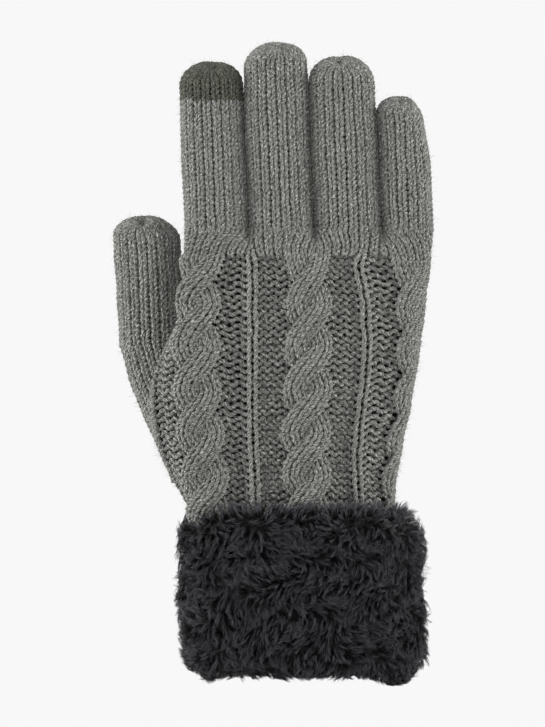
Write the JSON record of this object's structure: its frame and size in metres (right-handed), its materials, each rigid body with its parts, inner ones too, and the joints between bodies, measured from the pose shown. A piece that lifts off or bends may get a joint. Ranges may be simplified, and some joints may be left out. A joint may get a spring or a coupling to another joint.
{
  "type": "lined knitted glove",
  "caption": "Right-hand knitted glove with a cable-knit back, a darker touch-screen index fingertip, a fleece lining and a turned-back plush cuff.",
  "frame": {"origin": "middle of the wrist opening at the lower edge of the cuff", "axes": "+Z from the wrist to the fingertips, -Y the back of the hand, +Y the palm, +X the little-finger side, -X the thumb side"},
  "size_m": [0.1251, 0.0562, 0.2488],
  "materials": {
    "knit_yarn": "heathered mid-grey acrylic and wool yarn, matte",
    "touch_yarn": "darker conductive yarn, matte",
    "fleece": "brushed dark fleece lining",
    "plush": "long-pile plush imitation fur, soft sheen",
    "sewing_thread": "polyester sewing thread"
  },
  "bodies": {
    "hand": {"hand_back_knit": "knit_yarn", "cable_thumb_side": "knit_yarn", "rib_thumb_side": "knit_yarn", "cable_middle": "knit_yarn", "rib_little_side": "knit_yarn", "cable_little_side": "knit_yarn", "hand_palm_knit": "knit_yarn", "finger_yoke_knit": "knit_yarn", "hand_lining": "fleece", "thumb_root_knit": "knit_yarn", "thumb_root_lining": "fleece", "fur_cuff": "plush", "cuff_hem_seam": "sewing_thread"},
    "index_proximal": {"index_knit_proximal": "knit_yarn", "index_lining_proximal": "fleece"},
    "index_middle": {"index_knit_middle": "knit_yarn", "index_lining_middle": "fleece"},
    "index_tip": {"index_touch_tip": "touch_yarn", "index_lining_tip": "fleece", "index_tip_closure": "touch_yarn"},
    "middle_proximal": {"middle_knit_proximal": "knit_yarn", "middle_lining_proximal": "fleece"},
    "middle_middle": {"middle_knit_middle": "knit_yarn", "middle_lining_middle": "fleece"},
    "middle_tip": {"middle_knit_tip": "knit_yarn", "middle_lining_tip": "fleece", "middle_tip_closure": "knit_yarn"},
    "ring_proximal": {"ring_knit_proximal": "knit_yarn", "ring_lining_proximal": "fleece"},
    "ring_middle": {"ring_knit_middle": "knit_yarn", "ring_lining_middle": "fleece"},
    "ring_tip": {"ring_knit_tip": "knit_yarn", "ring_lining_tip": "fleece", "ring_tip_closure": "knit_yarn"},
    "little_proximal": {"little_knit_proximal": "knit_yarn", "little_lining_proximal": "fleece"},
    "little_middle": {"little_knit_middle": "knit_yarn", "little_lining_middle": "fleece"},
    "little_tip": {"little_knit_tip": "knit_yarn", "little_lining_tip": "fleece", "little_tip_closure": "knit_yarn"},
    "thumb_proximal": {"thumb_knit_proximal": "knit_yarn", "thumb_lining_proximal": "fleece"},
    "thumb_tip": {"thumb_knit_tip": "knit_yarn", "thumb_lining_tip": "fleece", "thumb_tip_closure": "knit_yarn"}
  },
  "joints": [
    {"name": "index_knuckle", "type": "hinge", "parent": "hand", "child": "index_proximal", "pos_m": [-0.0333, 0.0103, 0.176], "axis": [-0.9992, 0, -0.0401], "range_deg": [0, 80]},
    {"name": "index_middle_joint", "type": "hinge", "parent": "index_proximal", "child": "index_middle", "pos_m": [-0.03438, 0.0103, 0.20295], "axis": [-0.9992, 0, -0.0401], "range_deg": [0, 95]},
    {"name": "index_tip_joint", "type": "hinge", "parent": "index_middle", "child": "index_tip", "pos_m": [-0.03531, 0.0103, 0.22601], "axis": [-0.9992, 0, -0.0401], "range_deg": [0, 60]},
    {"name": "middle_knuckle", "type": "hinge", "parent": "hand", "child": "middle_proximal", "pos_m": [-0.008, 0.0104, 0.176], "axis": [-0.9992, 0, -0.0401], "range_deg": [0, 80]},
    {"name": "middle_middle_joint", "type": "hinge", "parent": "middle_proximal", "child": "middle_middle", "pos_m": [-0.0092, 0.0104, 0.206], "axis": [-0.9992, 0, -0.0401], "range_deg": [0, 95]},
    {"name": "middle_tip_joint", "type": "hinge", "parent": "middle_middle", "child": "middle_tip", "pos_m": [-0.01013, 0.0104, 0.22895], "axis": [-0.9992, 0, -0.0401], "range_deg": [0, 60]},
    {"name": "ring_knuckle", "type": "hinge", "parent": "hand", "child": "ring_proximal", "pos_m": [0.0179, 0.0104, 0.176], "axis": [-0.9992, 0, -0.0401], "range_deg": [0, 80]},
    {"name": "ring_middle_joint", "type": "hinge", "parent": "ring_proximal", "child": "ring_middle", "pos_m": [0.01678, 0.0104, 0.20398], "axis": [-0.9992, 0, -0.0401], "range_deg": [0, 95]},
    {"name": "ring_tip_joint", "type": "hinge", "parent": "ring_middle", "child": "ring_tip", "pos_m": [0.01589, 0.0104, 0.22594], "axis": [-0.9992, 0, -0.0401], "range_deg": [0, 60]},
    {"name": "little_knuckle", "type": "hinge", "parent": "hand", "child": "little_proximal", "pos_m": [0.0411, 0.0093, 0.176], "axis": [-0.9992, 0, -0.0401], "range_deg": [0, 80]},
    {"name": "little_middle_joint", "type": "hinge", "parent": "little_proximal", "child": "little_middle", "pos_m": [0.04022, 0.0093, 0.19797], "axis": [-0.9992, 0, -0.0401], "range_deg": [0, 95]},
    {"name": "little_tip_joint", "type": "hinge", "parent": "little_middle", "child": "little_tip", "pos_m": [0.03959, 0.0093, 0.21346], "axis": [-0.9992, 0, -0.0401], "range_deg": [0, 60]},
    {"name": "thumb_base", "type": "hinge", "parent": "hand", "child": "thumb_proximal", "pos_m": [-0.0588, 0.019, 0.13094], "axis": [-0.9992, 0, -0.0401], "range_deg": [0, 45]},
    {"name": "thumb_joint", "type": "hinge", "parent": "thumb_proximal", "child": "thumb_tip", "pos_m": [-0.05984, 0.019, 0.15692], "axis": [-0.9992, 0, -0.0401], "range_deg": [0, 60]}
  ]
}
